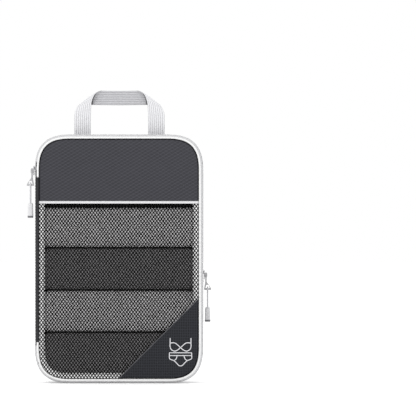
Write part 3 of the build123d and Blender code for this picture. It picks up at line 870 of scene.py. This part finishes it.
# the rounded edge between the piping and the walls, as insets and distances from the middle
SHOULDER = [(0.3, 21.9), (1.1, 23.2), (2.3, 24.6), (PIPING_INSET - 0.6, 25.3)]
COIL_REACH = 0.65  # how far each row of teeth reaches between the other's


def band_section(*depths):
    return [(0, y) for y in depths]


def zip_half(prefix, body, section, start, end, front, closed=False, ripple=0.1, seed=0.0):
    """Half of a zip, in front or behind: a tape and its coil."""
    name = prefix + "_tape_cloth"
    tape = rim_sheet(name, section, start, end, 0.7, closed=closed, ripple=ripple, seed=seed)
    settle(tape, body, cloth_tape, [prefix + "_tape"])
    y0, y1 = depth(prefix + "_coil")
    if front:
        y1 += COIL_REACH
    else:
        y0 -= COIL_REACH
    wire = coil(prefix + "_coil_wire", start, end, y0, y1, 0.0 if front else 0.5, closed)
    settle(wire, body, coil_plastic, [prefix + "_coil"])


def lid_rim():
    y1 = depth("main_zip_lid_tape")[1]
    section = [(inset, -y) for inset, y in SHOULDER[::-1]] + band_section(-20.6, y1)
    zip_half("main_zip_lid", "lid", section, LID_ZIP_FROM, LID_ZIP_TO, True, ripple=0.12)
    end = ROUND + SPINE_FROM
    white = rim_tube("front_piping_white", PIPING_INSET, PIPING_Y, PIPING_R, SPINE_TO, end)
    settle(white, "lid", cloth_piping, ["lid_white_piping"])
    dark = rim_tube("front_piping_dark", PIPING_INSET, PIPING_Y, PIPING_R * 0.96, SPINE_FROM, SPINE_TO)
    settle(dark, "lid", cloth_spine_light, ["lid_spine_piping"])
    flap = [(PIPING_INSET - 0.3, -25.2), (3.2, -23.5), (3.1, -20.0), (3.1, y1 + 1.2)]
    cover = rim_sheet("zip_garage_top", flap, SPINE_TO + 1.0, LID_ZIP_FROM + 1.5, 0.5, step=2)
    settle(cover, "lid", cloth_tape)
    rows = [rim_row(-20.3, LID_ZIP_FROM + 2, LID_ZIP_TO - 2)]
    sew("main_zip_lid_stitching", "lid", thread_light, rows, 2.2, 1.0)


# ---- middle section
def middle():
    section = [(2.5, -24.3), (1.9, -23.9), (0.8, -22.6), (0.15, -21.3)]
    section += band_section(-19.6, -16, -12.5, -10)
    spine = rim_sheet("spine_cloth_panel", section, SPINE_FROM, SPINE_TO, 0.8, ripple=0.25, seed=2)
    settle(spine, "middle", cloth_spine, ["spine_panel"])
    rows = [rim_row(y, SPINE_FROM + 1, SPINE_TO - 1) for y in (-20.4, -10.9)]
    sew("spine_stitching", "middle", thread_dark, rows, 2.4, 1.1, 0.17)
    zip_from, zip_to = SPINE_TO, ROUND + SPINE_FROM
    y0, seam_front = depth("main_zip_body_tape")
    section = band_section(y0 - 0.4, y0 + 1.5, y0 + 3.2, seam_front)
    zip_half("main_zip_body", "middle", section, zip_from, zip_to, False)
    y0, y1 = depth("middle_wall")
    hollow = [(-0.45 * math.sin(math.pi * (y - y0) / (y1 - y0)), y) for y in np.linspace(y0, y1, 9)]
    wall = rim_sheet("middle_wall_cloth", hollow, 0, ROUND, 0.8, step=2.4, closed=True, ripple=0.35, seed=5)
    settle(wall, "middle", cloth_main, ["middle_wall"])
    inside = [(1.1, y) for y in (y0, (y0 + y1) / 2, y1)]
    lining = rim_sheet("middle_wall_lining_cloth", inside, 0, ROUND, 0.3, closed=True)
    settle(lining, "middle", cloth_lining, ["middle_wall_lining"])
    y0, y1 = depth("squeeze_zip_front_tape")
    section = band_section(y0, y0 + 2, y0 + 4, y1 + 0.4)
    zip_half("squeeze_zip_front", "middle", section, 0, ROUND, True, closed=True)
    rows = [rim_row(seam_front - 1.0, zip_from, zip_to), rim_row(y0 + 1.0, 0, ROUND)]
    sew("zip_tape_stitching", "middle", thread_light, rows, 2.2, 1.0)


PLEAT_RIM = 1.0
PLEAT_DEEP = 14.6
PLEAT_HALF_GAP = 0.9
PLEAT_WAVE = 0.25


def gusset():
    y0, y1 = depth("squeeze_gusset")
    mid = (y0 + y1) / 2
    fold_from, fold_to = mid - PLEAT_HALF_GAP, mid + PLEAT_HALF_GAP
    section = [(PLEAT_RIM, y0)]
    for t in np.linspace(0.1, 0.9, 9):
        inset, wave = PLEAT_RIM + (PLEAT_DEEP - PLEAT_RIM) * t, PLEAT_WAVE * math.sin(7 * t)
        section.append((inset, y0 + (fold_from - y0) * t + wave))
    section += [(PLEAT_DEEP, mid - 0.8), (PLEAT_DEEP + 0.5, mid), (PLEAT_DEEP, mid + 0.8)]
    for t in np.linspace(0.9, 0.1, 9):
        inset, wave = PLEAT_RIM + (PLEAT_DEEP - PLEAT_RIM) * t, PLEAT_WAVE * math.sin(7 * t)
        section.append((inset, y1 - (y1 - fold_to) * t - wave))
    section.append((PLEAT_RIM, y1))
    pleat = rim_sheet("squeeze_gusset_cloth", section, 0, ROUND, 0.45, closed=True)
    pleat.data.materials.append(cloth_main)
    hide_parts("squeeze_gusset")
    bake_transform(pleat)


# ---- rear section
def rear():
    y0, y1 = depth("squeeze_zip_rear_tape")
    section = band_section(y0 - 0.4, y0 + 2, y0 + 4, y1)
    zip_half("squeeze_zip_rear", "rear", section, 0, ROUND, False, closed=True, seed=4)
    section = [(0, depth("rear_wall")[0]), (-0.2, 19.5), (-0.1, 20.9)] + SHOULDER
    wall = rim_sheet("rear_wall_cloth", section, 0, ROUND, 0.7, step=2.4, closed=True, ripple=0.2, seed=7)
    settle(wall, "rear", cloth_main, ["rear_wall"])
    cord = rim_tube("back_piping_white", PIPING_INSET, -PIPING_Y, PIPING_R, 0, ROUND, closed=True)
    settle(cord, "rear", cloth_piping, ["back_piping"])
    low, high = span("back_panel")
    x, z = panel_grid(panel_rows(low[2], high[2], 3.0), np.linspace(-1, 1, 71))
    cloth = panel_cloth("back_cloth", x, -front_y(x, z, 0.5), z, 0.6, -1.0)
    settle(cloth, "rear", cloth_main, ["back_panel"])
    inner = panel_cloth("back_lining_cloth", x * 0.999, np.full_like(x, 25.6), z, 0.3, 1.0)
    settle(inner, "rear", cloth_lining, ["back_lining"])
    sew("rear_tape_stitching", "rear", thread_light, [rim_row(y1 - 1.0, 0, ROUND)], 2.2, 1.0)


# ---- handle
HANDLE_STRETCH = 1.03
HANDLE_HALF = 53.7
HANDLE_FACE = 1.15  # the depth of the webbing's front face at its feet


def handle():
    """The strap: each leg stands up, rolls over along a slanting line and runs on as the grip behind."""
    foot = HANDLE_FOOT + 0.3
    half = HANDLE_HALF
    inner = half - WEBBING_WIDTH
    # stations along one side: outer edge, middle and inner edge of the webbing
    stations = [
        ((-half, 2.0, foot), (-half + 9.75, 2.0, foot), (-inner, 2.0, foot)),
        ((-half - 0.1, 1.9, 303), (-half + 9.7, 1.7, 303), (-inner, 1.9, 303)),
        ((-half - 0.1, 1.9, 312), (-half + 9.8, 1.5, 313), (-inner, 1.8, 314)),
        ((-half + 0.2, 2.1, 319), (-43.2, 1.1, 322.5), (-33.7, 1.4, 326.5)),
        ((-half + 1.6, 2.7, 323.6), (-42.0, 0.9, 329.6), (-32.7, 0.9, 333.5)),
        ((-50.6, 3.4, 326.6), (-38.9, 1.4, 335.2), (-30.4, 0.9, 339.6)),
        ((-48.2, 4.6, 328.6), (-36.6, 3.3, 337.6), (-27.2, 1.8, 343.6)),
        ((-44.4, 5.4, 329.4), (-33.4, 5.3, 337.8), (-22.6, 3.9, 345.6)),
        ((-39.0, 5.8, 329.6), (-29.0, 5.9, 337.7), (-18.0, 5.2, 345.8)),
        ((-30.0, 5.8, 329.4), (-22.0, 6.1, 337.5), (-13.0, 5.7, 345.7)),
        ((-15.0, 5.6, 329.2), (-11.0, 6.1, 337.4), (-6.0, 5.7, 345.6)),
        ((0.0, 5.6, 329.1), (0.0, 6.1, 337.3), (0.0, 5.7, 345.6)),
    ]
    one = np.array(stations, float)
    one[:, :, 2] = foot + (one[:, :, 2] - foot) * HANDLE_STRETCH
    other = one[::-1][1:].copy()
    other[:, :, 0] *= -1
    both = np.concatenate([one, other])
    rails = [curve_points(both[:, k], 16) for k in range(3)]
    v = np.linspace(0, 1, 45)
    a, b, c = rails
    grid = (
        a[:, None] * ((1 - v) * (1 - 2 * v))[None, :, None]
        + b[:, None] * (4 * v * (1 - v))[None, :, None]
        + c[:, None] * (v * (2 * v - 1))[None, :, None]
    )
    middle_line = grid[:, len(v) // 2]
    along = np.concatenate([[0], np.cumsum(np.linalg.norm(np.diff(middle_line, axis=0), axis=1))])
    across = v * WEBBING_WIDTH
    normal = np.cross(np.gradient(grid, axis=0), np.gradient(grid, axis=1))
    normal /= np.linalg.norm(normal, axis=2)[:, :, None]
    edge = np.minimum(v, 1 - v) * WEBBING_WIDTH
    plump = 0.65 * np.sqrt(np.clip(edge / 0.9, 0.05, 1))
    rib = -0.1 * np.cos(2 * math.pi * across / RIB_PITCH)
    offset = (plump + rib)[None, :, None]
    front, back = grid + normal * offset, grid - normal * offset
    loop = np.concatenate([front, back[:, ::-1]], 1)
    around = np.concatenate([across, across[::-1], [across[0]]])
    # painted shade on the grip behind the legs, along the curve where each leg's rolled edge would shadow it
    rise = np.clip((loop[:, :, 2] - 331.5) / 15.4, 0, 1)
    crease = 21.4 + 11.4 * np.sqrt(1 - rise * rise)
    behind = smooth_step((loop[:, :, 1] - 3.2) / 0.6) * (loop[:, :, 2] > 326)
    shade = behind * smooth_step((np.abs(loop[:, :, 0]) - crease + 1.6) / 1.4)
    obj = grid_object("handle_webbing", loop, along, around, wrap_across=True, shade=shade)
    settle(obj, "handle", cloth_webbing, ["carry_handle"])
    # the turned-back faces, seen on the grip, take the darker copy as painted shade
    obj.data.materials.append(cloth_webbing_shaded)
    turn = np.arange(len(obj.data.polygons)) % loop.shape[1]
    obj.data.polygons.foreach_set("material_index", (turn < len(v) - 1).astype(np.int32))
    recalc(obj, cap=True)
    rows = []
    for s in (-1, 1):
        x0, x1 = s * (half - 2), s * (inner + 2)
        z0, z1 = foot + 2.4, foot + 7.4
        corners = [(x0, z0), (x1, z0), (x1, z1), (x0, z1)]
        for start, end in ((0, 1), (3, 2), (0, 3), (1, 2)):
            x, z = np.linspace(corners[start], corners[end], 40).T
            rows.append((np.stack([x, np.full_like(x, HANDLE_FACE), z], 1), FORWARD))
    sew("handle_box_stitching", "handle", thread_light, rows, 1.5, 0.5, 0.2, 6, ["handle_stitching"])


# ---- sliders
def placed(obj, side, centre):
    """Moves a slider's piece from its own frame (x outwards, y across, z along) to its wall."""
    turn = Matrix.Rotation(math.pi if side < 0 else 0, 4, "Z")
    obj.data.transform(Matrix.Translation(Vector(centre) * MM) @ turn)
    return obj


CORD_BAR = (-17.0, 6.0)  # the tab's cross bar, below and out from the slider's middle
CORD_BEND = 2.1
CORD_NARROW = 1.05  # half the distance between the loop's strands
CORD_R = 0.95
GRIP_SQUARE = 0.55


def slider_set(prefix, side, pull):
    tab_low, tab_high = span(prefix + "_pull_tab")
    body_low, body_high = span(prefix + "_slider_body")
    grip_low, grip_high = span(prefix + "_pull_grip")
    y = (tab_low[1] + tab_high[1]) / 2
    z = (body_low[2] + body_high[2]) / 2
    wall = side * HALF_WIDTH
    centre = (wall, y, z)
    for node in (prefix + "_slider_body", prefix + "_pull_tab"):
        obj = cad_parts[node]
        obj.data.materials.clear()
        obj.data.materials.append(slider_paint)
        bevel = obj.modifiers.new("soft_edges", "BEVEL")
        bevel.width = 0.25 * MM
        bevel.segments = 2
        bevel.limit_method = "ANGLE"
        bevel.angle_limit = math.radians(40)
    bar_z, bar_x = CORD_BAR
    top = grip_high[2] - z
    knots = [(bar_x, -CORD_NARROW, top + rise) for rise in (-1.0, 3, 9)]
    knots += [(bar_x, -CORD_NARROW * 1.1, bar_z - 6), (bar_x, -CORD_BEND, bar_z - 1.0)]
    other = [(bar_x, -across, up) for _, across, up in knots[::-1]]
    for a in np.linspace(math.pi, 0, 7):
        knots.append((bar_x, CORD_BEND * math.cos(a), bar_z + CORD_BEND * math.sin(a)))
    cord = tube(prefix + "_cord_loop", curve_points(knots + other, 5), CORD_R, 12)
    settle(placed(cord, side, centre), pull, cord_braid, [prefix + "_pull_cord"])
    low = grip_low[2] - z
    height = top - low
    rings = []
    levels = np.concatenate([[0, 0.01, 0.03], np.linspace(0.07, 0.9, 26), [0.94, 0.97, 0.99, 1.0]])
    angle = np.linspace(0, 2 * math.pi, 29)[:-1]
    for t in levels:
        close = 1.0
        if t < 0.07:
            close = 0.86 + 0.14 * math.sqrt(t / 0.07)
        if t > 0.9:
            close = 0.62 + 0.38 * math.sqrt((1 - t) / 0.1)
        groove = 1 - 0.05 * (0.5 - 0.5 * math.cos(2 * math.pi * (t - 0.14) * 9)) * (0.14 < t < 0.7)
        wide = (3.4 - 0.45 * t) * close
        thick = (2.2 - 0.1 * t) * close * groove
        ring = []
        for a in angle:
            c, s = signed_power(math.cos(a), GRIP_SQUARE), signed_power(math.sin(a), GRIP_SQUARE)
            ring.append((bar_x + wide * c, thick * s, low + t * height))
        rings.append(ring)
    across = np.append(angle, 2 * math.pi) * 3
    name = prefix + "_grip_moulding"
    grip = grid_object(name, np.array(rings), levels * height, across, wrap_across=True)
    recalc(grip, cap=True)
    settle(placed(grip, side, centre), pull, grip_rubber, [prefix + "_pull_grip"])
    grip.data.materials.append(grip_foot)
    for face in grip.data.polygons:
        if face.center.z / MM - z < low + 0.12 * height:
            face.material_index = 1


def small_nodes():
    for node in ("main_zip_end_tabs", "squeeze_zip_stop", "handle_anchor_tabs"):
        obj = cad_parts[node]
        obj.data.materials.clear()
        obj.data.materials.append(small_cloth)


top_panel()
net()
seam_binding()
divider()
patch()
pictogram()
lid_rim()
middle()
gusset()
rear()
handle()
slider_set("main_zip", -1, "main_pull")
slider_set("squeeze_zip", 1, "squeeze_pull")
small_nodes()


# ---- what surrounds the object
GARMENT_REACH = (91.0, -24.4, 20.0)  # half its width, its front and its back


def garment(index, z_from, z_to, color):
    """A folded garment inside the cube. It belongs to the scene, not to the object."""
    x_half, y_from, y_to = GARMENT_REACH
    turns = math.pi * (np.arange(25) / 24 - 0.5)
    around = 2 * math.pi * np.arange(73) / 72
    points = np.zeros((len(turns), len(around) - 1, 3))
    for i, turn in enumerate(turns):
        flat, lift = abs(math.cos(turn)), signed_power(math.sin(turn), 0.5)
        for j, a in enumerate(around[:-1]):
            x = x_half * signed_power(math.cos(a), 0.08) * flat**0.04
            y = (y_to - y_from) / 2 * signed_power(math.sin(a), 0.1) * flat**0.14
            points[i, j] = (x, (y_from + y_to) / 2 + y, (z_from + z_to) / 2 + (z_to - z_from) / 2 * lift)
    obj = recalc(grid_object("garment_%d" % index, points, turns, around, wrap_across=True))
    obj.data.materials.append(plain_weave("garment_cloth_%d" % index, color, pitch=1.0, source="object"))
    return obj


def box_prop(name, low, high, color):
    corners = [(x, y, z) for z in (low[2], high[2]) for y in (low[1], high[1]) for x in (low[0], high[0])]
    faces = [[0, 1, 3, 2], [4, 6, 7, 5], [0, 4, 5, 1], [2, 3, 7, 6], [0, 2, 6, 4], [1, 5, 7, 3]]
    obj = recalc(new_object(name, corners, faces, smooth=False))
    obj.data.materials.append(yarn(name + "_cloth", color, 0.9, 0.0))
    return obj


LIGHT_CLOTH = (0.86, 0.85, 0.86)
DARK_CLOTH = (0.28, 0.273, 0.28)
GARMENT_LEVELS = [9.0, 60.5, 110.5, 160.5, 209.0]
GARMENT_GAP = 0.9
SHADE_CORE_LOW, SHADE_CORE_HIGH = (-86.5, -19.0, 12.5), (86.5, 19.0, 213.0)
for k in range(4):
    color = LIGHT_CLOTH if k % 2 else DARK_CLOTH
    z_from, z_to = GARMENT_LEVELS[k] + GARMENT_GAP, GARMENT_LEVELS[k + 1] - GARMENT_GAP
    garment(k, z_from, z_to, color)
# a near-black box inside the garments: painted shade that shows in the gaps between them and under the
# divider
box_prop("painted_shade_core", SHADE_CORE_LOW, SHADE_CORE_HIGH, (0.004, 0.004, 0.004))

FLOOR_X, FLOOR_Y = 4000, 9000
corners = [(-FLOOR_X, -FLOOR_Y, 0), (FLOOR_X, -FLOOR_Y, 0), (FLOOR_X, FLOOR_Y, 0), (-FLOOR_X, FLOOR_Y, 0)]
floor_mesh = new_object("studio_floor", corners, [[0, 1, 2, 3]])
floor_mat = Shader("studio_white", (0.8, 0.8, 0.8), 0.9, specular=0.0)
floor_mat.bsdf.inputs["Emission Color"].default_value = (1, 1, 1, 1)
floor_mat.bsdf.inputs["Emission Strength"].default_value = 0.3
floor_mesh.data.materials.append(floor_mat.material)

world = bpy.data.worlds.new("studio")
bpy.context.scene.world = world
world.use_nodes = True
background = world.node_tree.nodes["Background"]
background.inputs[0].default_value = (1, 1, 1, 1)
background.inputs[1].default_value = 1.0


def area_light(name, place, target, size, power):
    data = bpy.data.lights.new(name, "AREA")
    data.shape = "DISK"
    data.size = size
    data.energy = power
    light = link(name, data)
    light.location = place
    light.rotation_mode = "QUATERNION"
    light.rotation_quaternion = (Vector(target) - Vector(place)).to_track_quat("-Z", "Y")


MIDDLE = (0.0, 0.0, 0.15)
area_light("key", (-0.9, -1.4, 1.6), MIDDLE, 0.9, 14)
area_light("fill", (1.5, -1.6, 0.7), MIDDLE, 1.4, 6)
area_light("top_back", (0.2, 1.2, 1.6), MIDDLE, 1.0, 6)

bpy.context.scene.view_settings.view_transform = "Standard"

FRAME_WIDTH = 491.7
FRAME_X, FRAME_Y, FRAME_Z = 105.45, -28.0, 207.6
LENS = 300.0
SENSOR = 36.0
camera_data = bpy.data.cameras.new("camera")
camera_data.lens = LENS
camera_data.sensor_width = SENSOR
camera = link("camera", camera_data)
distance = FRAME_WIDTH * LENS / SENSOR
camera.location = (FRAME_X * MM, (FRAME_Y - distance) * MM, FRAME_Z * MM)
camera.rotation_euler = (math.radians(90), 0, 0)
bpy.context.scene.camera = camera
